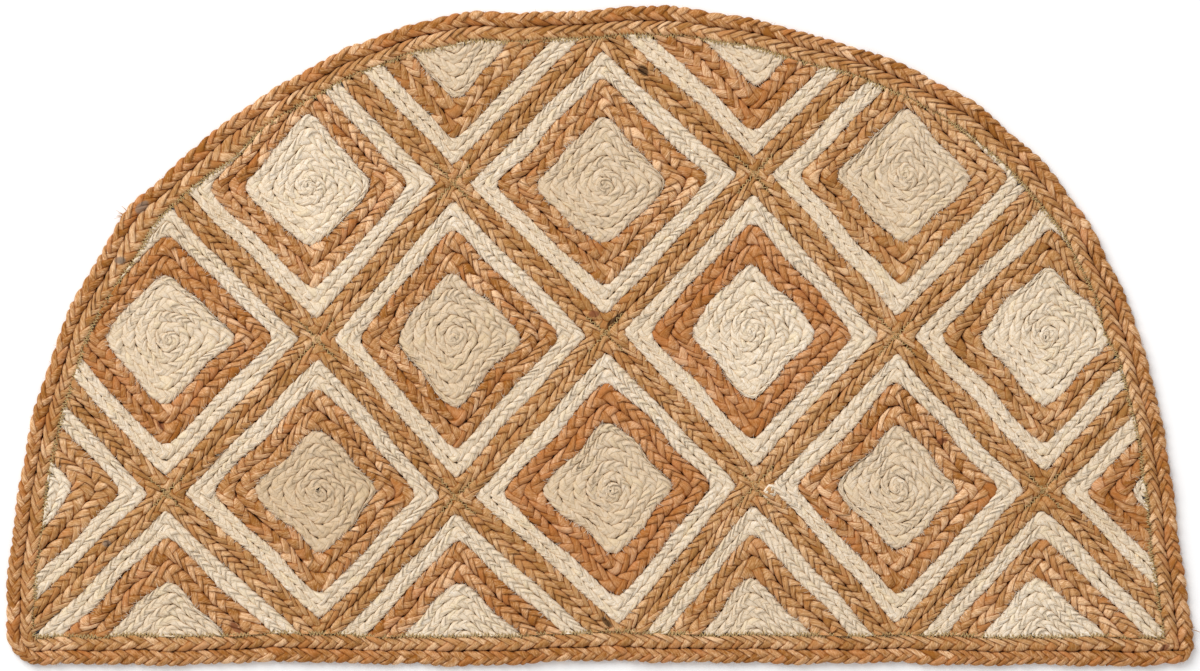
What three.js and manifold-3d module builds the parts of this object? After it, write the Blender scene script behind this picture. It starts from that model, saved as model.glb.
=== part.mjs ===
// Half-moon rug of sewn jute braid, lying flat with its straight edge towards -Y. Millimetres, +Z up.
// Diamond tiles are coiled from the middle, sewn to each other, cut to the half-moon and bordered.
import * as THREE from 'three';
import { mergeVertices } from 'three/addons/utils/BufferGeometryUtils.js';
import Module from 'manifold-3d';

const wasm = await Module();
wasm.setup();

// Driving sizes
const rug = { width: 900, depth: 500 };
const gap = 0.3;                                   // between neighbouring pieces
const heights = {
  edge: 4.6,                                       // where a piece meets the next one
  seam: 5.2,                                       // between two rounds of one piece
  brownCrest: 7.2,
  creamCrest: 6.6,
};

// A tile's rounds, as distances from its middle to the middle of a side
const tile = { reach: 80.5, latticeInner: 71.3, creamInner: 57.6 };
const rounds = { lattice: 1, cream: 2, brown: 2, centre: 5, border: 2 };
const sideStops = [-1, -0.5, 0.5];                 // where a side's points lie, from corner to corner

// How far a round's corners are drawn in, as a share: circles in the middle, straight sides at the seam
const bowing = [
  { reach: 0, drawnIn: 0.29 },
  { reach: 36, drawnIn: 0.085 },
  { reach: 57.6, drawnIn: 0.055 },
  { reach: 71.3, drawnIn: 0.015 },
  { reach: 80.5, drawnIn: 0 },
];

// The seams between tiles cross on an even lattice, each crossing pulled a little by hand
const lattice = { middleX: 5, topY: 344, halfPitch: 110.8, rowPitch: 115 };
const crossingRows = [
  { row: 0, firstColumn: -1, pullX: [-4, -2], pullY: [-6, -4] },
  { row: 1, firstColumn: -2, pullX: [-1, -3, 1], pullY: [-4, -1, 1] },
  { row: 2, firstColumn: -3, pullX: [1, -6, 1, 5], pullY: [-4, 2, 9, 4] },
  { row: 3, firstColumn: -4, pullX: [-1, 3, -1, -3, -2], pullY: [-3, -2, 2, 0, -1] },
  { row: 4, firstColumn: -5, pullX: [-7, -1, -3, 1, -2, -3], pullY: [-1, -4, -6, 3, -1, -1] },
  { row: 5, firstColumn: -4, pullX: [-4, 6, 11, -2, -2], pullY: [3, 3, -2, -1, 2] },
  { row: 6, firstColumn: -3, pullX: [-3, 4, 5, -1], pullY: [2, -2, -2, 2] },
];

// Each tile's coil (middle to side) and how far it sits off the tile's middle,
// towards the lower right side (leanU) and the upper right side (leanV)
const tiles = [
  { name: 'a1', row: 0, column: -1, coil: 35, leanU: 0, leanV: 0 },
  { name: 'a2', row: 0, column: 1, coil: 33, leanU: 0, leanV: 2 },
  { name: 'b1', row: 1, column: -2, coil: 38, leanU: -4.5, leanV: 0 },
  { name: 'b2', row: 1, column: 0, coil: 37, leanU: 0, leanV: -2 },
  { name: 'b3', row: 1, column: 2, coil: 38, leanU: -0.5, leanV: 4 },
  { name: 'c1', row: 2, column: -3, coil: 37, leanU: -2, leanV: 1 },
  { name: 'c2', row: 2, column: -1, coil: 37, leanU: -1, leanV: -1.5 },
  { name: 'c3', row: 2, column: 1, coil: 37, leanU: -0.5, leanV: 0 },
  { name: 'c4', row: 2, column: 3, coil: 38.5, leanU: 0, leanV: 0.5 },
  { name: 'd1', row: 3, column: -4, coil: 34, leanU: -1, leanV: 1 },
  { name: 'd2', row: 3, column: -2, coil: 36, leanU: 1, leanV: 2 },
  { name: 'd3', row: 3, column: 0, coil: 37, leanU: -0.5, leanV: 1 },
  { name: 'd4', row: 3, column: 2, coil: 35.5, leanU: 0, leanV: 0 },
  { name: 'd5', row: 3, column: 4, coil: 34, leanU: 1, leanV: 0 },
  { name: 'e1', row: 4, column: -3, coil: 34, leanU: 0, leanV: 0 },
  { name: 'e2', row: 4, column: -1, coil: 36, leanU: -2, leanV: -2 },
  { name: 'e3', row: 4, column: 1, coil: 36, leanU: -2, leanV: -2 },
  { name: 'e4', row: 4, column: 3, coil: 36.5, leanU: -1.5, leanV: -1.5 },
];

// The rim's distance from the middle of the straight edge, from the right corner round to the left,
// and the straight edge's small rises from left to right, both evenly spaced
const rim = [
  { angle: 0, reach: 450 }, { angle: 12, reach: 448 }, { angle: 24, reach: 465 },
  { angle: 36, reach: 488 }, { angle: 48, reach: 507 }, { angle: 60, reach: 511 },
  { angle: 72, reach: 504 }, { angle: 84, reach: 502 }, { angle: 96, reach: 498 },
  { angle: 108, reach: 506 }, { angle: 120, reach: 502 }, { angle: 132, reach: 496 },
  { angle: 144, reach: 486 }, { angle: 156, reach: 469 }, { angle: 168, reach: 455 },
  { angle: 180, reach: 450 },
];
const baseEdge = [
  { x: -450, rise: 1.5 }, { x: -337, rise: 1 }, { x: -225, rise: 3 }, { x: -112, rise: 0.5 },
  { x: 0, rise: 4 }, { x: 112, rise: 2 }, { x: 225, rise: 2 }, { x: 337, rise: 0.5 }, { x: 450, rise: 1 },
];
const border = { braid: 9.4, cornerRight: 14, cornerLeft: 22, sharpest: 2, edgeRound: 1.6 };
const borderSteps = { base: 16, corner: 3, rim: 32 };

const brownJute = new THREE.MeshStandardMaterial({ color: 0xad7c50, roughness: 0.85, metalness: 0 });
const creamJute = new THREE.MeshStandardMaterial({ color: 0xd6c2a7, roughness: 0.85, metalness: 0 });

// Reads a column of a table at a place, along straight lines between its rows
function readStraight(rows, key, column, place) {
  const next = Math.max(1, rows.findIndex((row) => row[key] >= place));
  const [low, high] = [rows[next - 1], rows[next]];
  return THREE.MathUtils.mapLinear(place, low[key], high[key], low[column], high[column]);
}

// Reads a smooth curve through one column of an evenly spaced table, fraction 0 to 1
function readSmooth(rows, column, fraction) {
  const curve = new THREE.SplineCurve(rows.map((row, i) => new THREE.Vector2(i, row[column])));
  return curve.getPoint(THREE.MathUtils.clamp(fraction, 0, 1)).y;
}

// The crossing at a row and a column of the half-pitch lattice
function crossing(row, column) {
  const line = crossingRows[row];
  const k = (column - line.firstColumn) / 2;
  return new THREE.Vector2(
    lattice.middleX + lattice.halfPitch * column + line.pullX[k],
    lattice.topY - lattice.rowPitch * row + line.pullY[k],
  );
}

// A tile's corners in the order left, top, right, bottom
function tileCorners({ row, column }) {
  return [
    crossing(row + 1, column - 1),
    crossing(row, column),
    crossing(row + 1, column + 1),
    crossing(row + 2, column),
  ];
}

// A point on the straight seam between two crossings, the same whichever end it is counted from
function seamPoint(start, end, along) {
  const forward = start.x < end.x;
  const [first, last] = forward ? [start, end] : [end, start];
  const share = (1 + (forward ? along : -along)) / 2;
  return new THREE.Vector2().lerpVectors(first, last, share);
}

// A point of a tile: reach from the middle, on the given side, along it from -1 to 1.
// Rounds lie parallel to the sides, bow out more towards the middle and lean with the coil.
function tilePoint(spec, reach, side, along) {
  const corners = tileCorners(spec);
  if (reach === tile.reach) return seamPoint(corners[side], corners[(side + 1) % 4], along);
  const level = reach / tile.reach;
  const bow = readStraight(bowing, 'reach', 'drawnIn', reach);
  const out = level * (1 - bow * along * along);
  const across = out * along;
  const [u, v] = [[-out, across], [across, out], [out, -across], [-across, -out]][side];
  const lean = Math.min(1, (tile.reach - reach) / (tile.reach - spec.coil)) / tile.reach;
  const uLeaning = u + spec.leanU * lean;
  const vLeaning = v + spec.leanV * lean;
  const shares = [
    (1 - uLeaning) * (1 - vLeaning),
    (1 - uLeaning) * (1 + vLeaning),
    (1 + uLeaning) * (1 + vLeaning),
    (1 + uLeaning) * (1 - vLeaning),
  ];
  const point = new THREE.Vector2();
  corners.forEach((corner, i) => point.addScaledVector(corner, shares[i] / 4));
  return point;
}

// The half-moon as a closed list of points, drawn in from its edge by inset, from the left corner
// along the straight edge, round the right corner, over the rim and round the left corner
function halfMoon(inset) {
  const floor = (x) => inset - rug.depth / 2 + readSmooth(baseEdge, 'rise', 0.5 + x / rug.width);
  const reach = (angle) => readSmooth(rim, 'reach', angle / Math.PI) - inset;
  const rimPoint = (angle) => new THREE.Vector2(
    reach(angle) * Math.cos(angle),
    reach(angle) * Math.sin(angle) - rug.depth / 2,
  );
  const corner = (side, radius) => {
    const turn = Math.max(radius - inset, border.sharpest);
    const y = floor(side * rug.width / 2) + turn;
    const low = Math.asin((y + rug.depth / 2) / rim[0].reach);
    const angle = side < 0 ? Math.PI - low : low;
    const edge = rimPoint(angle);
    return { turn, angle, middle: new THREE.Vector2(edge.x - side * turn, edge.y) };
  };
  const turnPoint = ({ turn, middle: pivot }, angle) => new THREE.Vector2(
    pivot.x + turn * Math.cos(angle),
    pivot.y + turn * Math.sin(angle),
  );
  const left = corner(-1, border.cornerLeft);
  const right = corner(1, border.cornerRight);
  const points = [];
  for (let i = 0; i < borderSteps.base; i += 1) {
    const x = THREE.MathUtils.lerp(left.middle.x, right.middle.x, i / borderSteps.base);
    points.push(new THREE.Vector2(x, floor(x)));
  }
  for (let i = 0; i < borderSteps.corner; i += 1) {
    points.push(turnPoint(right, (Math.PI / 2) * (i / borderSteps.corner - 1)));
  }
  for (let i = 0; i < borderSteps.rim; i += 1) {
    points.push(rimPoint(THREE.MathUtils.lerp(right.angle, left.angle, i / borderSteps.rim)));
  }
  for (let i = 0; i < borderSteps.corner; i += 1) {
    points.push(turnPoint(left, Math.PI + (Math.PI / 2) * (i / borderSteps.corner)));
  }
  return points;
}

// Tops of side by side rounds from one distance to another: seams with crests between them
function ribs(from, to, count, crest) {
  const points = [];
  for (let i = 0; i <= 2 * count; i += 1) {
    const atEnd = i === 0 || i === 2 * count;
    const low = atEnd ? heights.edge : heights.seam;
    points.push(new THREE.Vector2(THREE.MathUtils.lerp(from, to, i / (2 * count)), i % 2 ? crest : low));
  }
  return points;
}

// Carries a profile of (distance, height) round a closed route; place gives the point at a distance and step
function layRound(profile, steps, place) {
  const geometry = new THREE.LatheGeometry(profile, steps);
  const position = geometry.getAttribute('position');
  for (let i = 0; i < position.count; i += 1) {
    const { x: distance, y: height } = profile[i % profile.length];
    const point = place(distance, Math.floor(i / profile.length) % steps);
    position.setXYZ(i, point.x, point.y, height);
  }
  return bare(geometry);
}

// Keeps positions alone, merges shared vertices, drops flat triangles and faces the surface outwards
function bare(geometry) {
  geometry.deleteAttribute('normal');
  geometry.deleteAttribute('uv');
  const merged = mergeVertices(geometry);
  const { array: index } = merged.index;
  const position = merged.getAttribute('position');
  const corner = (i) => new THREE.Vector3().fromBufferAttribute(position, i);
  const kept = [];
  let volume = 0;
  for (let i = 0; i < index.length; i += 3) {
    const [a, b, c] = index.slice(i, i + 3);
    if (a === b || b === c || c === a) continue;
    kept.push([a, b, c]);
    volume += corner(a).dot(corner(b).cross(corner(c)));
  }
  merged.setIndex(kept.flatMap(([a, b, c]) => (volume > 0 ? [a, b, c] : [a, c, b])));
  return merged;
}

function toSolid(geometry) {
  const vertProperties = new Float32Array(geometry.getAttribute('position').array);
  const triVerts = new Uint32Array(geometry.index.array);
  return new wasm.Manifold(new wasm.Mesh({ numProp: 3, vertProperties, triVerts }));
}

function toGeometry(solid) {
  const { vertProperties, triVerts } = solid.getMesh();
  const geometry = new THREE.BufferGeometry();
  geometry.setAttribute('position', new THREE.BufferAttribute(vertProperties, 3));
  geometry.setIndex(new THREE.BufferAttribute(triVerts, 1));
  return geometry;
}

// Carries a profile of (distance, height) round a tile, from corner to corner
function layRoundTile(spec, profile) {
  const stops = sideStops.length;
  return layRound(profile, 4 * stops, (distance, step) => (
    tilePoint(spec, distance, Math.floor(step / stops), sideStops[step % stops])
  ));
}

// A band of rounds round a tile, between two distances from its middle. Its edges stand half a gap
// inside them, but for the tile's own edge, where the lattice's rounds are joined.
function tileBand(spec, from, to, count, crest) {
  const inner = from + gap / 2;
  const outer = to === tile.reach ? to : to - gap / 2;
  const top = ribs(outer, inner, count, crest);
  const profile = [...top, new THREE.Vector2(inner, 0), new THREE.Vector2(outer, 0), top[0].clone()];
  return layRoundTile(spec, profile);
}

// A tile's coil: rounds from its edge to the middle
function tileCoil(spec) {
  const outer = spec.coil - gap / 2;
  const top = ribs(outer, 0, rounds.centre, heights.creamCrest);
  top[top.length - 1].y = heights.seam;
  return layRoundTile(spec, [new THREE.Vector2(0, 0), new THREE.Vector2(outer, 0), ...top]);
}

// The border: two rounds of braid, rounded over at the outer edge
function borderBand() {
  const width = rounds.border * border.braid;
  const top = ribs(0, width, rounds.border, heights.brownCrest);
  const outline = [
    ...top,
    new THREE.Vector2(width, 0),
    new THREE.Vector2(border.edgeRound, 0),
    new THREE.Vector2(0, border.edgeRound),
    top[0].clone(),
  ];
  const steps = borderSteps.base + borderSteps.rim + 2 * borderSteps.corner;
  const routes = new Map(outline.map(({ x }) => [x, halfMoon(x)]));
  return layRound(outline, steps, (distance, step) => routes.get(distance)[step]);
}

// The room inside the border, as a block that partial tiles are cut to
function fieldBlock() {
  const shape = new THREE.Shape(halfMoon(rounds.border * border.braid + gap));
  const depth = 4 * heights.brownCrest;
  const block = new THREE.ExtrudeGeometry(shape, { depth, bevelEnabled: false });
  block.translate(0, 0, -depth / 2);
  return toSolid(bare(block));
}

// Adds a piece to the rug, whose outline's box is centred on the origin
function addPiece(name, geometry, material) {
  const mesh = new THREE.Mesh(geometry, material);
  mesh.name = name;
  mesh.position.set(-middle.x, -middle.y, 0);
  group.add(mesh);
}

const group = new THREE.Group();
const middle = new THREE.Box2().setFromPoints(halfMoon(0)).getCenter(new THREE.Vector2());
const field = fieldBlock();
const { brownCrest, creamCrest } = heights;
let latticeSolid = null;
for (const spec of tiles) {
  const centre = tileCoil(spec);
  const brownFrame = tileBand(spec, spec.coil, tile.creamInner, rounds.brown, brownCrest);
  const creamFrame = tileBand(spec, tile.creamInner, tile.latticeInner, rounds.cream, creamCrest);
  const latticeRound = tileBand(spec, tile.latticeInner, tile.reach, rounds.lattice, brownCrest);
  addPiece(`centre_${spec.name}`, toGeometry(toSolid(centre).intersect(field)), creamJute);
  addPiece(`brown_frame_${spec.name}`, toGeometry(toSolid(brownFrame).intersect(field)), brownJute);
  addPiece(`cream_frame_${spec.name}`, toGeometry(toSolid(creamFrame).intersect(field)), creamJute);
  latticeSolid = latticeSolid ? latticeSolid.add(toSolid(latticeRound)) : toSolid(latticeRound);
}
addPiece('joining_lattice', toGeometry(latticeSolid.intersect(field)), brownJute);
addPiece('border', borderBand(), brownJute);

export default group;
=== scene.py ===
# Half-moon rug of sewn jute braid, seen from straight above. Worked out in millimetres, built in metres.
import math
import bpy
import numpy as np
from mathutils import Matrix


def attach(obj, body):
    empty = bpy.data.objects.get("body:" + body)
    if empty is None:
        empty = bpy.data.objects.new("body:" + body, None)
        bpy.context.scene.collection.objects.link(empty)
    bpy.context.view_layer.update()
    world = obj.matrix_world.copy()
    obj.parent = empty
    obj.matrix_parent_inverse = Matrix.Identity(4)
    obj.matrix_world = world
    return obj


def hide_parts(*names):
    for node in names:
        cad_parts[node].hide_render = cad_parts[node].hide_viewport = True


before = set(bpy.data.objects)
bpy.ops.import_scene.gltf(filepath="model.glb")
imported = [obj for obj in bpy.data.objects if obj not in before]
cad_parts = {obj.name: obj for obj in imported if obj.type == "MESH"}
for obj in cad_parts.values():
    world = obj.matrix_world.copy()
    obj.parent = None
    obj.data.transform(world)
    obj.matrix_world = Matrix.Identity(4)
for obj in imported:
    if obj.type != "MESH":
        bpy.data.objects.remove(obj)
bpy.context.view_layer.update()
metre = 0.001                                      # metres in a millimetre
tiny = 1e-9                                        # keeps a division by a length from failing
print("rug: solids loaded")

middleOfBox = (-0.364, 0.091)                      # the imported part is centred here, in millimetres

# The same values as in the part's source
rug = {"width": 900, "depth": 500}
tile = {"reach": 80.5, "latticeInner": 71.3, "creamInner": 57.6}
lattice = {"middleX": 5, "topY": 344, "halfPitch": 110.8, "rowPitch": 115}
crossingRows = [
    {"firstColumn": -1, "pullX": [-4, -2], "pullY": [-6, -4]},
    {"firstColumn": -2, "pullX": [-1, -3, 1], "pullY": [-4, -1, 1]},
    {"firstColumn": -3, "pullX": [1, -6, 1, 5], "pullY": [-4, 2, 9, 4]},
    {"firstColumn": -4, "pullX": [-1, 3, -1, -3, -2], "pullY": [-3, -2, 2, 0, -1]},
    {"firstColumn": -5, "pullX": [-7, -1, -3, 1, -2, -3], "pullY": [-1, -4, -6, 3, -1, -1]},
    {"firstColumn": -4, "pullX": [-4, 6, 11, -2, -2], "pullY": [3, 3, -2, -1, 2]},
    {"firstColumn": -3, "pullX": [-3, 4, 5, -1], "pullY": [2, -2, -2, 2]},
]
tiles = [                                          # name, row, column, coil, leanU, leanV
    ("a1", 0, -1, 35, 0, 0), ("a2", 0, 1, 33, 0, 2), ("b1", 1, -2, 38, -4.5, 0),
    ("b2", 1, 0, 37, 0, -2), ("b3", 1, 2, 38, -0.5, 4), ("c1", 2, -3, 37, -2, 1),
    ("c2", 2, -1, 37, -1, -1.5), ("c3", 2, 1, 37, -0.5, 0), ("c4", 2, 3, 38.5, 0, 0.5),
    ("d1", 3, -4, 34, -1, 1), ("d2", 3, -2, 36, 1, 2), ("d3", 3, 0, 37, -0.5, 1),
    ("d4", 3, 2, 35.5, 0, 0), ("d5", 3, 4, 34, 1, 0), ("e1", 4, -3, 34, 0, 0),
    ("e2", 4, -1, 36, -2, -2), ("e3", 4, 1, 36, -2, -2), ("e4", 4, 3, 36.5, -1.5, -1.5),
]
# The rim's distance from the middle of the straight edge, each 12 degrees from the right corner round
# to the left, and the straight edge's small rises from left to right
rimReach = [450, 448, 465, 488, 507, 511, 504, 502, 498, 506, 502, 496, 486, 469, 455, 450]
baseRise = [1.5, 1, 3, 0.5, 4, 2, 2, 0.5, 1]

# The rest of the shapes. Insets are distances from the rug's edge, in millimetres. A bulge or a swell
# is its angle in degrees, how far it stands out in millimetres and its width in degrees.
border = {
    "cornerRight": 14, "cornerLeft": 27, "sharpest": 2,              # corner radii, and the least radius
    "outer": 10.6, "both": 21.7,                                     # insets of the two braids' inner edges
    "deep": 15,                                                      # inset from which the swells count
    "tuck": 0.4, "seamIn": 0.1,                                      # field under it, seam beyond it
    "hue": 0.35, "outerDarker": 0.55, "outerSole": (0.8, 1.02),
}
rimBulges = [(135.5, 5.0, 2.6), (102, 2.6, 3.0), (90, -2.6, 4.5)]
innerSwells = [(126, -4.4, 2.5), (137, -4.4, 3), (50.5, -1.6, 3.2), (33.5, -4.2, 1.8), (104.5, -1.0, 2.5)]
# How yellow each tile's coil is, and how olive, or below 0 red, its brown frame
tileTones = {
    "a1": (0.6, 0.3), "a2": (0.4, -0.3), "b1": (0.1, 0), "b2": (0.7, 0.1), "b3": (0.6, 0.4),
    "c1": (0.4, -0.4), "c2": (0.7, 0), "c3": (0.1, -0.8), "c4": (0.2, 0.4), "d1": (0, 0.3),
    "d2": (1, 0.1), "d3": (0.7, -0.8), "d4": (0.6, 0), "d5": (0, -0.2), "e1": (0.4, 0),
    "e2": (0.2, -0.2), "e3": (0.4, 0.3), "e4": (0.1, 0.2),
}
hues = {"creamFrame": 0.25, "lattice": 0.5}
waver = {                                          # two waves round a tile, in millimetres
    "slow": 1.2, "slowWaves": 3, "fast": 0.8, "fastWaves": 7,
    "rowTurn": 7, "columnTurn": 3, "fade": 1.5,
}
outlinePoints = {"edge": 500, "corner": 24, "rim": 900}
squareness = {"reach": [0, 16, 26, 36, 57.6, 71.3, 80.5], "power": [2, 2.4, 4, 8, 17, 45, 60]}
driftWaves = {                                     # millimetres, then x and y per radian, then the start
    "across": [(0.55, 11.3, 23, 1), (0.45, -31, 9.1, 4)],
    "upward": [(0.55, -19, 12.1, 2), (0.45, 8.3, 37, 0)],
}


# A smooth curve through evenly spaced values: between two of them it is the cubic whose slope at each
# is half the difference of that one's neighbours
def readSmooth(values, fraction):
    values = np.asarray(values, float)
    place = np.clip(fraction, 0, 1) * (len(values) - 1)
    step = np.minimum(place.astype(int), len(values) - 2)
    share = place - step
    here, there = values[step], values[step + 1]
    before = values[np.maximum(step - 1, 0)]
    after = values[np.minimum(step + 2, len(values) - 1)]
    slopeHere, slopeThere = (there - before) / 2, (after - here) / 2
    cube = 2 * (here - there) + slopeHere + slopeThere
    square = 3 * (there - here) - 2 * slopeHere - slopeThere
    return ((cube * share + square) * share + slopeHere) * share + here


# Height of the straight edge at x, drawn in by inset
def baseAt(x, inset):
    return inset - rug["depth"] / 2 + readSmooth(baseRise, 0.5 + np.asarray(x, float) / rug["width"])


# Distance of the rim from the middle of the straight edge at an angle, drawn in by inset. Each bulge
# adds height * exp(-((angle - its own) / width) ^ 2), and a deep inset has the inner swells as well.
def rimAt(angle, inset):
    angle = np.asarray(angle, float)
    far = readSmooth(rimReach, angle / math.pi) - inset
    bulges = rimBulges + innerSwells if inset > border["deep"] else rimBulges
    for middle, height, width in bulges:
        far = far + height * np.exp(-((np.degrees(angle) - middle) / width) ** 2)
    return far


# The half-moon's outline drawn in by inset, anticlockwise from the left end of the straight edge:
# edge, quarter turn, rim, quarter turn, with the same count of points for every inset. A corner's
# middle lies one corner radius above the edge and one inside the rim.
def halfMoon(inset):
    def rimPoint(angle):
        reach = rimAt(angle, inset)
        return np.stack([reach * np.cos(angle), reach * np.sin(angle) - rug["depth"] / 2], -1)

    def corner(side, radius):
        turn = max(radius - inset, border["sharpest"])
        y = baseAt(side * rug["width"] / 2, inset) + turn
        low = math.asin((y + rug["depth"] / 2) / rimReach[0])
        angle = math.pi - low if side < 0 else low
        edge = rimPoint(angle)
        return turn, angle, np.array([edge[0] - side * turn, edge[1]])

    leftTurn, leftAngle, leftMiddle = corner(-1, border["cornerLeft"])
    rightTurn, rightAngle, rightMiddle = corner(1, border["cornerRight"])
    x = np.linspace(leftMiddle[0], rightMiddle[0], outlinePoints["edge"], endpoint=False)
    quarter = np.linspace(0, math.pi / 2, outlinePoints["corner"], endpoint=False)
    around = np.stack([np.cos(quarter), np.sin(quarter)], -1)
    rightBend = rightMiddle + rightTurn * np.stack([around[:, 1], -around[:, 0]], -1)
    leftBend = leftMiddle - leftTurn * around
    rimPart = rimPoint(np.linspace(rightAngle, leftAngle, outlinePoints["rim"], endpoint=False))
    return np.concatenate([np.stack([x, baseAt(x, inset)], -1), rightBend, rimPart, leftBend])


# The crossing at a row and a column of the half-pitch lattice: its even place plus its own pull
def crossing(row, column):
    line = crossingRows[row]
    k = (column - line["firstColumn"]) // 2
    return np.array([
        lattice["middleX"] + lattice["halfPitch"] * column + line["pullX"][k],
        lattice["topY"] - lattice["rowPitch"] * row + line["pullY"][k],
    ])


# Points of a tile at a reach and an angle: (u, v) lies on a rounded square, |u|^p + |v|^p = reach^p,
# leans with the coil, and is carried bilinearly to the tile's four corners. Between the middle and the
# outer edge the reach wavers by two sine waves round the tile.
def tilePoints(spec, reach, angle):
    row, column, coil, leanU, leanV = spec[1:]
    reach = np.asarray(reach, float)
    turn = waver["rowTurn"] * row + waver["columnTurn"] * column
    wave = waver["slow"] * np.sin(waver["slowWaves"] * angle + turn)
    wave = wave + waver["fast"] * np.sin(waver["fastWaves"] * angle - 2 * turn)
    reach = reach + wave * np.sin(math.pi * np.clip(reach / tile["reach"], 0, 1)) ** waver["fade"]
    power = np.interp(reach, squareness["reach"], squareness["power"])
    cos, sin = np.cos(angle), np.sin(angle)
    size = (np.abs(cos) ** power + np.abs(sin) ** power) ** (-1 / power)
    level = reach / tile["reach"] * size
    lean = np.minimum(1, (tile["reach"] - reach) / (tile["reach"] - coil)) / tile["reach"]
    u = level * cos + leanU * lean
    v = level * sin + leanV * lean
    left, top = crossing(row + 1, column - 1), crossing(row, column)
    right, bottom = crossing(row + 1, column + 1), crossing(row + 2, column)
    shares = [((1 - u) * (1 - v), left), ((1 - u) * (1 + v), top),
              ((1 + u) * (1 + v), right), ((1 + u) * (1 - v), bottom)]
    return sum(share[..., None] * corner for share, corner in shares) / 4


# How far points lie inside the field: the lesser of the room to the rim and to the straight edge
def roomInside(points, inset):
    x, y = points[..., 0], points[..., 1] + rug["depth"] / 2
    toRim = rimAt(np.arctan2(y, x), inset) - np.hypot(x, y)
    return np.minimum(toRim, points[..., 1] - baseAt(x, inset))


# Draws points that lie outside the field back to its edge, along the line to the middle of the base
def fitInside(points, inset):
    x, y = points[..., 0], points[..., 1] + rug["depth"] / 2
    far = np.hypot(x, y)
    share = np.minimum(1, rimAt(np.arctan2(y, x), inset) / np.maximum(far, 1))
    x, y = x * share, y * share - rug["depth"] / 2
    return np.stack([x, np.maximum(y, baseAt(x, inset))], -1)


# Braid: three strands plaited flat. A lobe is one strand's pad between the edge and the middle line.
# rows are the places along one lobe that get points, with the pad's height at each, and across are
# the places from the middle to the edge, with the crown's height at each. pitch is a lobe's length and
# crest, seam and sole are heights, all in millimetres. slant and lean set how far a lobe runs back.
thickBraid = {
    "pitch": 9.6, "spread": 0.24, "slant": 1.0, "weave": 0.26, "scallop": 0.24, "overhang": 0.1,
    "rows": [0, 0.1, 0.25, 0.4, 0.5, 0.6, 0.75, 0.9], "pad": [0, 0.62, 0.93, 1, 1, 0.97, 0.86, 0.5],
    "across": [0, 0.24, 0.52, 0.82, 1], "crown": [0.62, 1, 0.98, 0.66, 0],
    "crest": 7.2, "seam": 3.8, "edge": 0.86, "sole": 0, "uneven": 0.15, "lean": 1.3, "stretch": 0.06,
}
thinBraid = {
    "pitch": 7.2, "spread": 0.27, "slant": 1.1, "weave": 0.3, "scallop": 0.24, "overhang": 0.14,
    "rows": [0, 0.17, 0.5, 0.67], "pad": [0, 0.8, 1, 0.85],
    "across": [0, 0.34, 0.78, 1], "crown": [0.72, 1, 0.84, 0.2],
    "crest": 6.6, "seam": 4.6, "edge": 0.95, "sole": 0, "uneven": 0.15, "lean": 1.1, "stretch": 0.07,
}
frameBraid = {**thickBraid, "pitch": 9.9, "slant": 0.82, "weave": 0.3}
edgeBraid = {**thickBraid, "pitch": 9.3, "seam": 3.7, "edge": 0.8, "uneven": 0.18}
heartBraid = {**thinBraid, "slant": 0.5, "scallop": 0.1, "seam": 5.5, "edge": 1, "sole": 0.5}
lobe = {
    "least": 0.55, "most": 1.6,                    # lengths as shares of the pitch
    "endPower": 1.1, "lowest": 0.2,                # how a pad falls off at its ends, and how low
    "sole": (1.02, 1.02),                          # the underside's reach, as shares of half the width
    "tone": 0.68, "strandTone": 0.22, "stripTone": 0.15,
}
rng = np.random.default_rng(11)                    # every random draw comes from here


# The rug's unevenness: a slow drift of every point both ways, each way the sum of its waves
# size * sin(x / xLength + y / yLength + start)
def drift(points):
    x, y = points[..., 0], points[..., 1]
    moves = [sum(size * np.sin(x / xLength + y / yLength + start)
                 for size, xLength, yLength, start in waves)
             for waves in driftWaves.values()]
    return points + np.stack(moves, -1)


# Lengths along a strip at which its lobes start: even steps with a seeded spread, summed to the total
def lobeStarts(total, lobes, spread):
    sizes = np.clip(1 + rng.normal(0, spread, lobes), lobe["least"], lobe["most"])
    starts = np.concatenate([[0], np.cumsum(sizes)])
    return starts * total / starts[-1]


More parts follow.
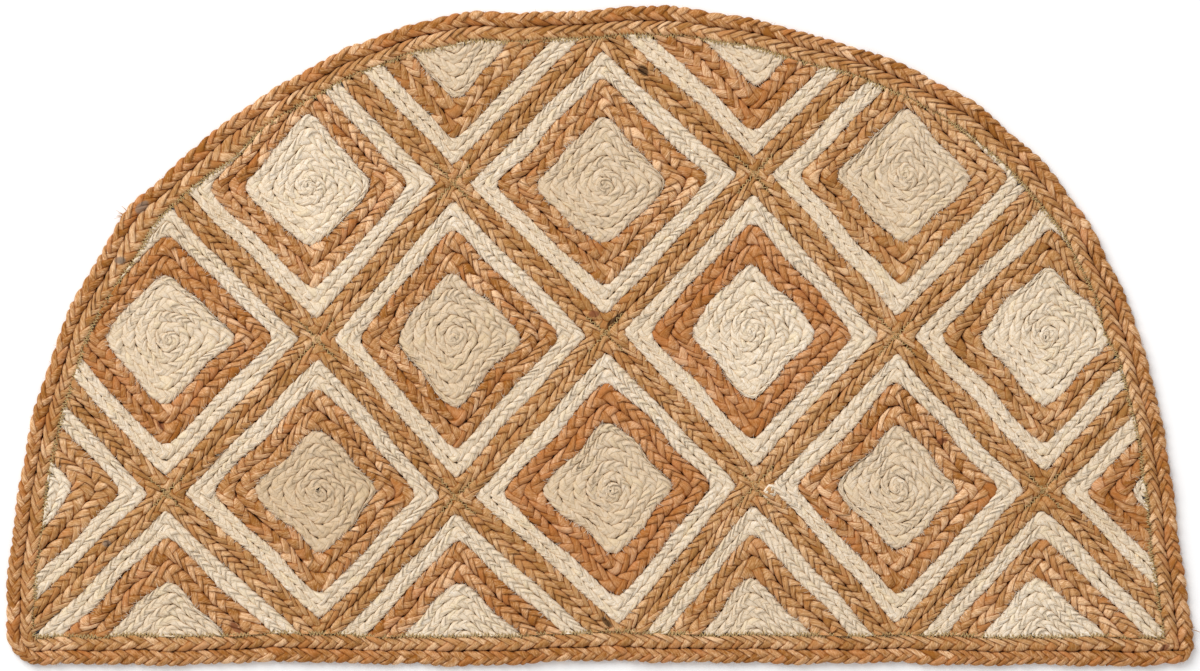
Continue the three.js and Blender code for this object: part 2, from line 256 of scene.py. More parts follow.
# A strip of braid between two edge lines. Rows slant back from the middle to the edges, the middle
# line swings with the lobes, each lobe is a pad that is low at its creases and at the strip's edges,
# and a flat underside closes it. Strand gives each point its lobe count, side and strip number.
# A point's height is seam + (crest - seam) * crown * pad, and its pad falls off faster at a lobe's ends.
def plait(outer, inner, closed, braid, fit=None, sole=lobe["sole"], hue=0):
    if closed:
        outer, inner = np.vstack([outer, outer[:1]]), np.vstack([inner, inner[:1]])
    middle = (outer + inner) / 2
    length = np.concatenate([[0], np.cumsum(np.hypot(*np.diff(middle, axis=0).T))])
    total = length[-1]
    lobes = max(2, round(total / braid["pitch"]))
    starts = lobeStarts(total, lobes, braid["spread"])
    rows, pad = np.array(braid["rows"]), np.array(braid["pad"])
    half = len(rows) // 2
    padOther = np.roll(pad, -half)                 # the other side's lobes lie half a pitch on
    step = (np.arange(lobes)[:, None] + rows).ravel()
    if not closed:
        step = np.append(step, lobes)
    count = len(step)
    take = np.arange(count) % len(rows)
    places, crowns = np.array(braid["across"]), np.array(braid["crown"])
    signs = np.concatenate([-np.ones(len(places) - 1), [0], np.ones(len(places) - 1)])
    level = np.concatenate([places[:0:-1], places])
    crown = np.concatenate([crowns[:0:-1], crowns])

    # each lobe's own plumpness and tone
    lobeOf = np.stack([np.floor(step), np.floor(step + 0.5)]).astype(int) % (lobes + 1)
    strandOf = (2 * np.arange(lobes + 1) + np.arange(2)[:, None]) % 3
    plump = 1 + braid["uneven"] * rng.uniform(-1, 1, (2, lobes + 1))
    tone = rng.normal(0, lobe["tone"], (2, lobes + 1))
    tone = tone + rng.normal(0, lobe["strandTone"], 3)[strandOf] + rng.normal(0, lobe["stripTone"])
    warm = rng.uniform(0, 1, (2, lobes + 1))
    plumpAt, toneAt, warmAt = (np.take_along_axis(values, lobeOf, 1) for values in (plump, tone, warm))
    padAt = np.stack([pad[take], padOther[take]])

    swing = -braid["weave"] * np.cos(2 * math.pi * step)[:, None]
    side = (signs > 0).astype(int)                 # 0 left, 1 right
    over = (padAt[1] > padAt[0]).astype(int)       # which side's lobe lies on top at the middle line
    pick = np.where(signs == 0, over[:, None], side)
    every = np.arange(count)[:, None]
    ends = (2 * level - 1) ** 2                    # 1 at a lobe's two ends, 0 halfway
    padHere = padAt[pick, every] ** (1 + lobe["endPower"] * ends)
    reach = 1 + braid["overhang"] - braid["scallop"] * (1 - padHere)
    lateral = swing * (1 - level) + signs * reach * level
    meanWidth = np.median(np.hypot(*(outer - inner).T))
    # each side's lobes lean and reach out a little more or less, without a step between two of them
    centres = np.arange(lobes) + 0.5
    lean, stretch = (np.stack([np.interp(step, centres, rng.normal(0, size, lobes), period=lobes)
                               for n in range(2)]) for size in (braid["lean"], braid["stretch"]))
    slant = braid["slant"] * meanWidth / 2 + lean[side].T
    along = np.interp(step, np.arange(lobes + 1), starts)[:, None] - slant * level
    lateral = lateral * (1 + stretch[side].T * level)
    crest = braid["crest"] * plumpAt[pick, every]
    fullness = lobe["lowest"] + (1 - lobe["lowest"]) * padHere
    height = braid["seam"] + (crest - braid["seam"]) * crown * fullness
    height[:, 0] = height[:, -1] = braid["seam"] * braid["edge"]

    # underside: outer edge, middle, inner edge
    lateral = np.hstack([lateral, np.broadcast_to([sole[0], 0, -sole[1]], (count, 3))])
    along = np.hstack([along, along[:, -1:], along[:, -1:], along[:, :1]])
    height = np.hstack([height, np.full((count, 3), braid["sole"])])
    ring = lateral.shape[1]
    along = along % total if closed else np.clip(along, 0, total)

    spots = [np.interp(along, length, edge[:, i]) for edge in (outer, inner) for i in (0, 1)]
    outerSpot, innerSpot = np.stack(spots[:2], -1), np.stack(spots[2:], -1)
    flat = innerSpot + (outerSpot - innerSpot) * ((lateral + 1) / 2)[..., None]
    if fit is not None:
        flat = fitInside(flat, fit)
    points = np.concatenate([drift(flat), height[..., None]], -1).reshape(-1, 3)

    number = rng.uniform(0, 100)
    v = np.concatenate([signs * level, [1, 0, -1]])
    strand = np.stack(np.broadcast_arrays(step[:, None], v, number), -1).reshape(-1, 3)
    pickAll = np.hstack([pick, np.broadcast_to([1, 1, 0], (count, 3))])
    shade = np.stack([toneAt[pickAll, every], warmAt[pickAll, every], np.full((count, ring), hue)], -1)

    lines = count if closed else count - 1
    here = np.arange(lines)[:, None] * ring
    there = (np.arange(lines) + 1)[:, None] % count * ring
    columns = np.arange(ring)
    nextColumn = (columns + 1) % ring
    faces = np.stack(np.broadcast_arrays(here + columns, here + nextColumn, there + nextColumn,
                                         there + columns), -1).reshape(-1, 4)
    if not closed:
        fan = np.array([[0, k, k + 1, k + 2] for k in range(1, ring - 2, 2)])
        faces = np.concatenate([faces, fan[:, ::-1], fan + (count - 1) * ring])
    # a closed strip's volume says which way its faces turn
    a, b, c, d = (points[faces[:, k]] for k in range(4))
    volume = (a * np.cross(b, c)).sum() + (a * np.cross(c, d)).sum()
    if volume < 0:
        faces = faces[:, ::-1]
    return {"points": points, "faces": faces, "ends": np.empty((0, 3), int), "strand": strand,
            "shade": shade.reshape(-1, 3), "length": total}


# How braid is cut to the field: the fewest points worth laying, how much of a braid's width may hang
# over before it is left out, and the room under which it is drawn back inside
laying = {"fewest": 6, "overhang": 0.42, "room": 2}


# The stretches of a closed or open line that lie in the field, each as its own indices. Going round
# from a point outside, a stretch starts where the line comes in and ends where it goes out.
def stretchesInside(inside, closed):
    count = len(inside)
    if inside.all():
        return [(np.arange(count), closed)]
    if not inside.any():
        return []
    start = int(np.argmin(inside)) if closed else 0
    order = (np.arange(count) + start) % count if closed else np.arange(count)
    flags = inside[order].astype(int)
    edges = np.flatnonzero(np.diff(np.concatenate([[0], flags, [0]])))
    return [(order[a:b], False) for a, b in zip(edges[::2], edges[1::2])
            if b - a > laying["fewest"]]


fieldInset = border["both"] - border["tuck"]


# Lays braid between two edge lines, cut to the field where it runs out of it
def layBraid(outer, inner, closed, braid, hue):
    room = roomInside((outer + inner) / 2, fieldInset)
    width = np.median(np.hypot(*(outer - inner).T))
    strips = []
    for indices, whole in stretchesInside(room > -laying["overhang"] * width, closed):
        cut = roomInside(outer[indices], fieldInset).min() < laying["room"]
        fit = fieldInset if cut else None
        strips.append(plait(outer[indices], inner[indices], whole, braid, fit, hue=hue))
    return strips


around = np.linspace(0, 2 * math.pi, 720, endpoint=False)           # a point each half degree
roundWaver = {"slow": 0.5, "slowWaves": 5, "fast": 0.4, "fastWaves": 11}


# A band of rounds round a tile between two reaches, evenly shared out. The lines between its rounds
# waver by two sine waves, and each round starts at its own place.
def bandOfRounds(spec, low, high, count, braid, hue=0):
    strips = []
    turns, starts = rng.uniform(0, 2 * math.pi, (2, count + 1))
    for k in range(count):
        angle = around + starts[k]
        lines = []
        for n in (k, k + 1):
            swing = (roundWaver["slow"] * np.sin(roundWaver["slowWaves"] * angle + turns[n])
                     + roundWaver["fast"] * np.sin(roundWaver["fastWaves"] * angle - turns[n]))
            reach = low + (high - low) * n / count + (swing if 0 < n < count else 0)
            lines.append(tilePoints(spec, reach, angle))
        strips += layBraid(lines[1], lines[0], True, braid, hue)
    return strips


coil = {
    "turns": 5.4, "extra": 0.7, "tail": 0.5, "pointsPerTurn": 400,
    "level": 0.45,                                 # share of each turn that runs level
    "heart": 4.4, "hole": 0.2,                     # radii of the ring that closes the middle
    "edgeGap": 0.3, "thinnest": 0.5,
}


# A tile's coil: a spiral whose turns run level for a share of each turn and then step in by one
# width, with its first stretch drawn out thin to close the outside. Its middle lies at
# reach - width / 2 - width * (whole turns + ramp), and the ramp is s * s * (3 - 2 * s).
def tileCoil(spec, braid):
    reach = spec[3]
    width = reach / coil["turns"]
    turn = np.arange(-coil["tail"], coil["turns"] + coil["extra"], 1 / coil["pointsPerTurn"])
    part = turn - np.floor(turn)
    ramp = np.clip((part - coil["level"]) / (1 - coil["level"]), 0, 1)
    ramp = ramp * ramp * (3 - 2 * ramp)
    middle = reach - width / 2 - width * (np.floor(turn) + ramp)
    outer = np.minimum(reach, middle + width / 2)
    inner = np.clip(middle - width / 2, 0, reach - coil["edgeGap"])
    keep = (outer - inner > coil["thinnest"]) & ((turn < 0) | (outer > coil["thinnest"]))
    angle = 2 * math.pi * (turn + rng.uniform())
    lines = [tilePoints(spec, line, angle)[keep] for line in (outer, inner)]
    hue = tileTones[spec[0]][0]
    heart = [tilePoints(spec, size, around) for size in (coil["heart"], coil["hole"])]
    return layBraid(*lines, False, braid, hue) + layBraid(*heart, True, heartBraid, hue)


# Tubes along many paths of the same count of points: a corner lies at
# path + radius * (sideways * cos turn + upward * sin turn), sideways and upward being square to the
# path, and both ends are closed. Strand counts millimetres along the tube.
def makeTubes(paths, radii, sides, tone):
    paths = np.asarray(paths, float)
    lines, count = paths.shape[:2]
    tangent = np.gradient(paths, axis=1)
    tangent /= np.linalg.norm(tangent, axis=2, keepdims=True) + tiny
    sideways = np.cross(tangent, [0, 0, 1.0])
    sideways /= np.linalg.norm(sideways, axis=2, keepdims=True) + tiny
    upward = np.cross(sideways, tangent)
    turn = 2 * math.pi * np.arange(sides) / sides
    ring = np.cos(turn)[:, None] * sideways[:, :, None] + np.sin(turn)[:, None] * upward[:, :, None]
    points = paths[:, :, None] + ring * np.asarray(radii)[..., None, None]
    far = np.cumsum(np.linalg.norm(np.diff(paths, axis=1, prepend=paths[:, :1]), axis=2), axis=1)
    first = np.arange(lines)[:, None, None] * count * sides
    here = first + np.arange(count - 1)[:, None] * sides
    corner = np.arange(sides)
    other = (corner + 1) % sides
    faces = np.stack([here + corner, here + sides + corner, here + sides + other, here + other], -1)
    start = first[:, 0] + corner
    end = start + (count - 1) * sides
    number = np.broadcast_to(rng.uniform(0, 100, (lines, 1, 1)), points.shape[:3])
    shade = np.broadcast_to(np.asarray(tone)[:, None, None, None], (*points.shape[:3], 3))
    strand = np.stack(np.broadcast_arrays(far[..., None], corner / sides, number), -1)
    caps = np.concatenate([start, end[:, ::-1]])
    faces = faces.reshape(-1, 4)
    return {"points": points.reshape(-1, 3), "faces": faces if sides == 3 else np.vstack([faces, caps]),
            "ends": caps if sides == 3 else np.empty((0, 3), int), "strand": strand.reshape(-1, 3),
            "shade": shade.reshape(-1, 3), "length": far[:, -1].sum()}


bakeLayout = {"scale": 0.97, "middle": 0.5, "top": 0.75, "below": 0.25}


# Joins strips into one mesh of a piece, in metres, with its strand data and a flat bake map: seen from
# above, the top in the map's upper half and the underside in its lower half
def makePiece(name, strips, material, nodes=()):
    starts = np.cumsum([0] + [len(strip["points"]) for strip in strips])
    points = np.concatenate([strip["points"] for strip in strips])
    points = np.concatenate([points[:, :2] - middleOfBox, points[:, 2:]], 1) * metre
    quads, ends = (np.concatenate([strip[key] + start for strip, start in zip(strips, starts)])
                   for key in ("faces", "ends"))
    corners = np.concatenate([quads.ravel(), ends.ravel()])
    sizes = np.repeat([4, 3], [len(quads), len(ends)])
    mesh = bpy.data.meshes.new(name)
    mesh.vertices.add(len(points))
    mesh.vertices.foreach_set("co", points.ravel())
    mesh.loops.add(len(corners))
    mesh.loops.foreach_set("vertex_index", corners)
    mesh.polygons.add(len(sizes))
    mesh.polygons.foreach_set("loop_start", np.cumsum(sizes) - sizes)
    mesh.update(calc_edges=True)
    mesh.polygons.foreach_set("use_smooth", np.ones(len(sizes), bool))
    for key in ("strand", "shade"):
        layer = mesh.attributes.new(key, "FLOAT_VECTOR", "POINT")
        layer.data.foreach_set("vector", np.concatenate([strip[key] for strip in strips]).ravel())
    normals = np.empty(3 * len(sizes))
    mesh.polygons.foreach_get("normal", normals)
    below = np.repeat(normals[2::3] < 0, sizes)
    spots = points[corners]
    bakeMap = mesh.uv_layers.new(name="OFBake")
    mapped = [bakeLayout["middle"] + bakeLayout["scale"] * spots[:, 0],
              np.where(below, bakeLayout["below"], bakeLayout["top"]) + bakeLayout["scale"] * spots[:, 1]]
    bakeMap.data.foreach_set("uv", np.stack(mapped, -1).ravel())
    mesh.materials.append(material)
    piece = bpy.data.objects.new(name, mesh)
    bpy.context.scene.collection.objects.link(piece)
    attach(piece, "root")
    if nodes:
        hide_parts(*nodes)
    areas = np.empty(len(sizes))
    mesh.polygons.foreach_get("area", areas)
    length = sum(strip["length"] for strip in strips)
    print(f"rug: {name}, {int((sizes - 2).sum())} triangles, {length / 1000:.2f} m long, "
          f"half its surface {areas.sum() / 2:.4f} m2")
    return piece


# A socket that takes part in Python arithmetic, where each operation adds its Math node
class Value:
    def __init__(self, nodes, socket):
        self.nodes = nodes
        self.socket = socket

    def math(self, operation, *others):
        return self.nodes.add("ShaderNodeMath", {"operation": operation}, self, *others)

    def __add__(self, other):
        return self.math("ADD", other)

    def __radd__(self, other):
        return self.math("ADD", other)

    def __sub__(self, other):
        return self.math("SUBTRACT", other)

    def __rsub__(self, other):
        return self.nodes.add("ShaderNodeMath", {"operation": "SUBTRACT"}, other, self)

    def __mul__(self, other):
        return self.math("MULTIPLY", other)

    def __rmul__(self, other):
        return self.math("MULTIPLY", other)

    def __truediv__(self, other):
        return self.math("DIVIDE", other)

    def __abs__(self):
        return self.math("ABSOLUTE")

    # 0 below low, 1 above high, smooth between
    def ramp(self, low, high):
        return self.nodes.add("ShaderNodeMapRange", {"interpolation_type": "SMOOTHSTEP"}, self, low, high)


# A material's nodes: add makes one of a type, with its settings first and then its sockets
class Nodes:
    def __init__(self, name):
        self.material = bpy.data.materials.new(name)
        self.material.use_nodes = True
        self.tree = self.material.node_tree
        self.tree.nodes.clear()

    def add(self, kind, settings=None, *values, output=0, **named):
        node = self.tree.nodes.new(kind)
        for key, value in (settings or {}).items():
            setattr(node, key, value)
        for key, value in list(enumerate(values)) + [(k.replace("_", " "), v) for k, v in named.items()]:
            if isinstance(value, Value):
                self.tree.links.new(value.socket, node.inputs[key])
            elif value is not None:
                node.inputs[key].default_value = value
        return Value(self, node.outputs[output]) if len(node.outputs) else None

    # A vector's three parts
    def parts(self, vector):
        split = self.add("ShaderNodeSeparateXYZ", None, vector)
        return [Value(self, socket) for socket in split.socket.node.outputs]

    # The three parts of a value that the mesh carries at each point
    def carried(self, name):
        return self.parts(self.add("ShaderNodeAttribute", {"attribute_name": name}, output=1))

    # The colour first at factor 0 and second at 1
    def mixColour(self, factor, first, second):
        node = self.tree.nodes.new("ShaderNodeMix")
        node.data_type = "RGBA"
        for key, value in ((0, factor), (6, first), (7, second)):
            if isinstance(value, Value):
                self.tree.links.new(value.socket, node.inputs[key])
            else:
                node.inputs[key].default_value = value if key == 0 else (*value, 1)
        return Value(self, node.outputs[2])

    # The material, once its surface is joined to its output
    def finished(self, colour, roughness, bump, gloss, sheen=0):
        surface = self.add("ShaderNodeBsdfPrincipled", None, Base_Color=colour, Roughness=roughness,
                           Normal=bump)
        inputs = surface.socket.node.inputs
        inputs["Sheen Weight"].default_value = sheen
        inputs["Specular IOR Level"].default_value = gloss
        self.add("ShaderNodeOutputMaterial", None, surface)
        return self.material


# Each look's colours run from dark to light with a lobe's tone. tone, streak and blotch say how much of
# the tone comes from the lobe, its fibres and its patches. The crease colour is painted shade, mixed into
# the creases and along the middle line, and the dark specks share it; groove says how strongly that
# painted shade goes in.
brownLook = {
    "dark": (0.31, 0.115, 0.02), "main": (0.52, 0.265, 0.108), "light": (0.86, 0.56, 0.33),
    "red": (0.47, 0.165, 0.045), "olive": (0.47, 0.28, 0.105), "creaseShade": (0.30, 0.08, 0.006),
    "fibres": 15, "streak": 1.9, "blotch": 0.9, "tone": 0.21, "bump": 1.0,
    "specks": 0.5, "grooveShade": 0.85, "warm": 0.6,
    "black": (0.035, 0.016, 0.008), "maroon": (0.21, 0.065, 0.028), "grey": (0.26, 0.19, 0.14),
    "stains": [                                    # x, y, half length, half width, turn in degrees, colour
        (32.5, 200.5, 4.8, 3.2, -45, "black"), (11.2, 12.6, 8.8, 1.5, 41, "black"),
        (-4.6, 16.4, 4.0, 2.6, 0, "maroon"), (5.3, -217, 5.5, 2.0, -45, "black"),
        (259.4, -79.3, 4.5, 2.2, 20, "maroon"), (427.3, -235.9, 4.5, 2.2, 30, "maroon"),
        (-363, 56.8, 4.0, 3.0, 0, "grey"), (-346.4, 97, 6.0, 3.4, 40, "grey"),
        (-276, -220.7, 6.0, 2.4, -50, "maroon"), (-289.6, -90.7, 2.2, 1.2, 30, "black"),
        (-330.5, -117.2, 2.4, 1.6, 0, "black"), (-332, -68, 4.0, 2.0, -60, "maroon"),
        (-372.9, -157.2, 3.4, 2.6, 0, "grey"),
    ],
}
creamLook = {
    "dark": (0.59, 0.45, 0.295), "main": (0.78, 0.645, 0.482), "light": (0.95, 0.87, 0.76),
    "red": (0.82, 0.68, 0.45), "olive": (0.50, 0.32, 0.155), "creaseShade": (0.56, 0.385, 0.205),
    "fibres": 9, "streak": 1.2, "blotch": 0.6, "tone": 0.06, "bump": 0.8,
    "specks": 0.8, "grooveShade": 0.42, "warm": 0.5, "stains": [],
}
threadLook = {"dark": (0.33, 0.21, 0.075), "light": (0.64, 0.46, 0.215), "twist": 1.4}
fibreLook = {"alongScale": 2.5, "roundScale": 3, "wave": 0.5, "grain": 0.9, "dark": 0.2,
             "bump": 0.5, "bumpDepth": 0.0003, "roughness": 0.8, "gloss": 0.3}
creamFibreLook = {"dark": (0.70, 0.55, 0.38), "light": (0.96, 0.86, 0.72), "twist": 0.3}
brownFibreLook = {"dark": (0.42, 0.18, 0.07), "light": (0.72, 0.42, 0.20), "twist": 0.3}


# Thread and loose fibres: light and dark turns wind round the tube, one turn each twist millimetres
def threadMaterial(name, look):
    nodes = Nodes(name)
    along, side, number = nodes.carried("strand")
    wave = (2 * math.pi * (along / look["twist"] + side)).math("SINE") * 0.5 + 0.5
    place = nodes.add("ShaderNodeCombineXYZ", None, along * fibreLook["alongScale"],
                      side * fibreLook["roundScale"], number)
    grain = nodes.add("ShaderNodeTexNoise", None, place, Scale=1, Detail=2)
    level = wave * fibreLook["wave"] + grain * fibreLook["grain"] - fibreLook["dark"]
    colour = nodes.mixColour(level.ramp(0, 1), look["dark"], look["light"])
    bump = nodes.add("ShaderNodeBump", None, Strength=fibreLook["bump"],
                     Distance=fibreLook["bumpDepth"], Height=wave + grain)
    return nodes.finished(colour, fibreLook["roughness"], bump, fibreLook["gloss"])


juteLook = {
    # The crease and middle settings shape the painted shade in the creases and along the middle line
    "creaseBend": 0.07, "creaseFrom": -0.03, "creaseTo": 0.1, "middleWidth": 0.1, "middle": 0.7,
    "sideStep": 7, "acrossScale": 2.2, "grain": 0.6, "blotchScale": 160, "patchScale": 9, "speckScale": 620,
    "patch": 0.4, "darkFrom": 0.05, "darkTo": 0.5, "lightFrom": 0.45, "lightTo": 1.0,
    "warmFrom": 0.75, "olive": 0.55, "red": -0.5, "speckFrom": 0.62, "speckTo": 0.72,
    "markBlotch": 1.5, "markStreak": 2, "markFrom": 0.6, "markTo": 1.4,
    "markLeast": 0.35, "markFibres": 0.9,
    "streakDepth": 0.6, "blotchDepth": 0.3, "grooveDepth": 0.5,
    "bumpDepth": 0.0009, "roughness": 0.85, "sheen": 0.02, "gloss": 0.06,
}


# Jute: each lobe has its own tone, fibres run along it as fine streaks, the creases and the middle line
# get painted shade and dark specks sit in the plait. A lobe's fraction is its strand count less its
# whole part, half a lobe on for the other side. A mark is where u ^ 2 + v ^ 2 in its turned ellipse,
# roughened by noise, is small.
def juteMaterial(name, look):
    nodes = Nodes(name)
    count, across, number = nodes.carried("strand")
    tone, warm, hue = nodes.carried("shade")
    onRight = across.math("GREATER_THAN", 0)
    fraction = (count + onRight * 0.5).math("FRACT")
    # Painted shade mask: 1 in the creases between lobes and along the middle line where the lobes go under,
    # 0 on the pads; it also lowers the bump
    toCrease = fraction.math("MINIMUM", 1 - fraction)
    ends = 2 * abs(across) - 1
    gap = toCrease - ends * ends * juteLook["creaseBend"]
    creaseShade = 1 - gap.ramp(juteLook["creaseFrom"], juteLook["creaseTo"])
    middleLineShade = 1 - abs(across).ramp(0.0, juteLook["middleWidth"])
    grooveShade = creaseShade.math("MAXIMUM", middleLineShade * juteLook["middle"])

    place = nodes.add("ShaderNodeCombineXYZ", None, count * look["fibres"] + onRight * juteLook["sideStep"],
                      across * juteLook["acrossScale"], number)
    streak = nodes.add("ShaderNodeTexNoise", None, place, Scale=1, Detail=3, Roughness=juteLook["grain"])
    spot = nodes.add("ShaderNodeTexCoord", output=3)
    blotch = nodes.add("ShaderNodeTexNoise", None, spot, Scale=juteLook["blotchScale"], Detail=3,
                       Roughness=juteLook["grain"])
    patch = nodes.add("ShaderNodeTexNoise", None, spot, Scale=juteLook["patchScale"], Detail=2)
    speck = nodes.add("ShaderNodeTexNoise", None, spot, Scale=juteLook["speckScale"], Detail=1)
    level = tone * look["tone"] + (streak - 0.5) * look["streak"] + (blotch - 0.5) * look["blotch"]
    level = level + (patch - 0.5) * juteLook["patch"] + 0.5
    darkness = level.ramp(juteLook["darkFrom"], juteLook["darkTo"])
    low = nodes.mixColour(darkness, look["dark"], look["main"])
    colour = nodes.mixColour(level.ramp(juteLook["lightFrom"], juteLook["lightTo"]), low, look["light"])
    colour = nodes.mixColour(warm.ramp(juteLook["warmFrom"], 1.0) * look["warm"], colour, look["red"])
    colour = nodes.mixColour(hue * juteLook["olive"], colour, look["olive"])
    colour = nodes.mixColour(hue * juteLook["red"], colour, look["red"])
    specks = speck.ramp(juteLook["speckFrom"], juteLook["speckTo"]) * look["specks"]
    # Dark specks in the plait, in the same dark colour as the painted crease shade
    colour = nodes.mixColour(specks, colour, look["creaseShade"])
    # Painted shade: the creases and the middle line are mixed towards the dark crease colour
    colour = nodes.mixColour(grooveShade * look["grooveShade"], colour, look["creaseShade"])
    spotX, spotY = nodes.parts(spot)[:2]
    for x, y, longHalf, wideHalf, turn, tint in look["stains"]:
        cos, sin = math.cos(math.radians(turn)), math.sin(math.radians(turn))
        aside = spotX - (x - middleOfBox[0]) * metre
        upward = spotY - (y - middleOfBox[1]) * metre
        u = (aside * cos + upward * sin) / (longHalf * metre)
        v = (upward * cos - aside * sin) / (wideHalf * metre)
        rough = (blotch - 0.5) * juteLook["markBlotch"]
        far = u * u + v * v + rough + (streak - 0.5) * juteLook["markStreak"]
        mark = 1 - far.ramp(juteLook["markFrom"], juteLook["markTo"])
        share = mark * (juteLook["markLeast"] + streak * juteLook["markFibres"])
        colour = nodes.mixColour(share, colour, look[tint])
    height = streak * juteLook["streakDepth"] + blotch * juteLook["blotchDepth"]
    height = height - grooveShade * juteLook["grooveDepth"]
    bump = nodes.add("ShaderNodeBump", None, Strength=look["bump"], Distance=juteLook["bumpDepth"],
                     Height=height)
    return nodes.finished(colour, juteLook["roughness"], bump, juteLook["gloss"], juteLook["sheen"])


brownJute = juteMaterial("brownJute", brownLook)
creamJute = juteMaterial("creamJute", creamLook)
sewingThread = threadMaterial("sewingThread", threadLook)
creamFibre = threadMaterial("creamFibre", creamFibreLook)
brownFibre = threadMaterial("brownFibre", brownFibreLook)
print("rug: materials made")

centreStrips, brownStrips, creamStrips, latticeStrips = [], [], [], []
for spec in tiles:
    centreStrips += tileCoil(spec, thinBraid)
    brownStrips += bandOfRounds(spec, spec[3], tile["creamInner"], 2, frameBraid, tileTones[spec[0]][1])
    creamStrips += bandOfRounds(spec, tile["creamInner"], tile["latticeInner"], 2, thinBraid,
                                hues["creamFrame"])
    latticeStrips += bandOfRounds(spec, tile["latticeInner"], tile["reach"], 1, thickBraid,
                                  hues["lattice"])
# Small pads of braid close the crossings
knot = {"outer": 4.2, "inner": 0.2, "hue": 0.9}
knotBraid = {**heartBraid, "crest": 6.0, "seam": 5.0}
circle = np.stack([np.cos(around), np.sin(around)], -1)
for row, line in enumerate(crossingRows):
    for k in range(len(line["pullX"])):
        spot = crossing(row, line["firstColumn"] + 2 * k)
        if roomInside(spot, fieldInset) > knot["outer"]:
            latticeStrips.append(plait(circle * knot["outer"] + spot, circle * knot["inner"] + spot, True,
                                       knotBraid, hue=knot["hue"]))
outlines = [halfMoon(inset) for inset in (0, border["outer"], border["both"])]
borderStrips = [
    plait(outlines[0], outlines[1], True, edgeBraid, sole=border["outerSole"]),
    plait(outlines[1], outlines[2], True, edgeBraid, hue=border["hue"]),
]
borderStrips[0]["shade"][:, 0] -= border["outerDarker"]

# Where one cream braid ends in a small curl that stands out over the joining braid
curl = {"spot": (128.2, -117.2), "radius": 5.6, "hole": 0.3, "lift": 1.0, "above": 1}
curlStrip = plait(circle * curl["radius"] + curl["spot"], circle * curl["hole"] + curl["spot"], True,
                  {**thinBraid, "sole": 0.5})
curlStrip["points"][:, 2] += curl["lift"] * (curlStrip["points"][:, 2] > curl["above"])
creamStrips.append(curlStrip)

names = [spec[0] for spec in tiles]
makePiece("tile_centres", centreStrips, creamJute,
          [f"centre_{name}" for name in names])
makePiece("brown_frames", brownStrips, brownJute,
          [f"brown_frame_{name}" for name in names])
makePiece("cream_frames", creamStrips, creamJute,
          [f"cream_frame_{name}" for name in names])
makePiece("joining_braid", latticeStrips, brownJute, ["joining_lattice"])
makePiece("edge_braid", borderStrips, brownJute, ["border"])

sewing = {
    "edgeStitch": 1.35, "edgeWidth": 2.0, "edgeThread": 0.5, "edgeHigh": 6.3, "edgeLow": 6.0,
    "tileStitch": 2.2, "tileWidth": 1.6, "tileThread": 0.45, "tileHigh": 5.9, "tileLow": 5.5,
    "tileReach": 20, "tilePoints": 60, "tileRoom": 1,
    "fewest": 4, "least": 0.7, "most": 1.15, "aside": 0.12, "up": 0.15, "sides": 4,
}


# Zigzag stitches along a line: its points stand off the line by 0, 1, 0 and -1 widths in turn, low
# over the seam and a little higher on the braids. Kind is edge or tile.
def zigzag(line, kind):
    keys = ("Stitch", "Width", "Thread", "High", "Low")
    stitch, width, thread, high, low = (sewing[kind + key] for key in keys)
    length = np.concatenate([[0], np.cumsum(np.hypot(*np.diff(line, axis=0).T))])
    count = max(sewing["fewest"], 2 * int(length[-1] / stitch))
    place = np.linspace(0, length[-1], count + 1)
    spot = np.stack([np.interp(place, length, line[:, i]) for i in (0, 1)], -1)
    ahead = np.gradient(spot, axis=0)
    ahead /= np.linalg.norm(ahead, axis=1, keepdims=True) + tiny
    normal = np.stack([-ahead[:, 1], ahead[:, 0]], -1)
    pattern = np.array([0, 1, 0, -1])[np.arange(count + 1) % 4]
    swing = pattern * rng.uniform(sewing["least"], sewing["most"], count + 1)
    flat = spot + normal * (swing * width)[:, None] + rng.normal(0, sewing["aside"], (count + 1, 2))
    height = np.where(pattern != 0, high, low) + rng.normal(0, sewing["up"], count + 1)
    path = np.concatenate([drift(flat), height[:, None]], 1)
    return makeTubes(path[None], np.full((1, count + 1), thread), sewing["sides"], [0])


stitches = []
seamLine = halfMoon(border["both"] + border["seamIn"])
stitches.append(zigzag(np.vstack([seamLine, seamLine[:1]]), "edge"))
# At each crossing the tiles' seams show their stitches for a short way
tileEdges = set()
for spec in tiles:
    row, column = spec[1:3]
    corners = [(row, column), (row + 1, column + 1), (row + 2, column), (row + 1, column - 1)]
    tileEdges |= {tuple(sorted(pair)) for pair in zip(corners, corners[1:] + corners[:1])}
for start, end in sorted(tileEdges):
    first, last = crossing(*start), crossing(*end)
    for here, there in ((first, last), (last, first)):
        way = sewing["tileReach"] / np.hypot(*(there - here))
        share = np.linspace(0, way, sewing["tilePoints"])[:, None]
        line = here * (1 - share) + there * share
        if roomInside(line, fieldInset).min() > sewing["tileRoom"]:
            stitches.append(zigzag(line, "tile"))
makePiece("sewing_thread", stitches, sewingThread)

fuzz = {
    "creamPerLine": 150, "brownPerLine": 26, "rim": 700,
    "creamLength": (2.0, 5.0), "brownLength": (1.5, 3.5), "rimLength": (1.5, 4.0), "radius": 0.14,
    "height": 6.3, "rimHeight": (3, 6), "rimPlace": 0.2, "sunk": 0.5, "room": 2.5,
    "turn": 0.6, "bend": 0.5, "wobble": 0.15, "toneSpread": 1, "thinnest": 0.7, "thickest": 1.3,
}
fuzzShape = {                                      # at the four points of a fibre
    "part": [-0.15, 0.25, 0.65, 1.0], "rise": [-0.5, 0.3, 0.35, 0.1], "thickness": [1, 1, 0.8, 0.4],
}


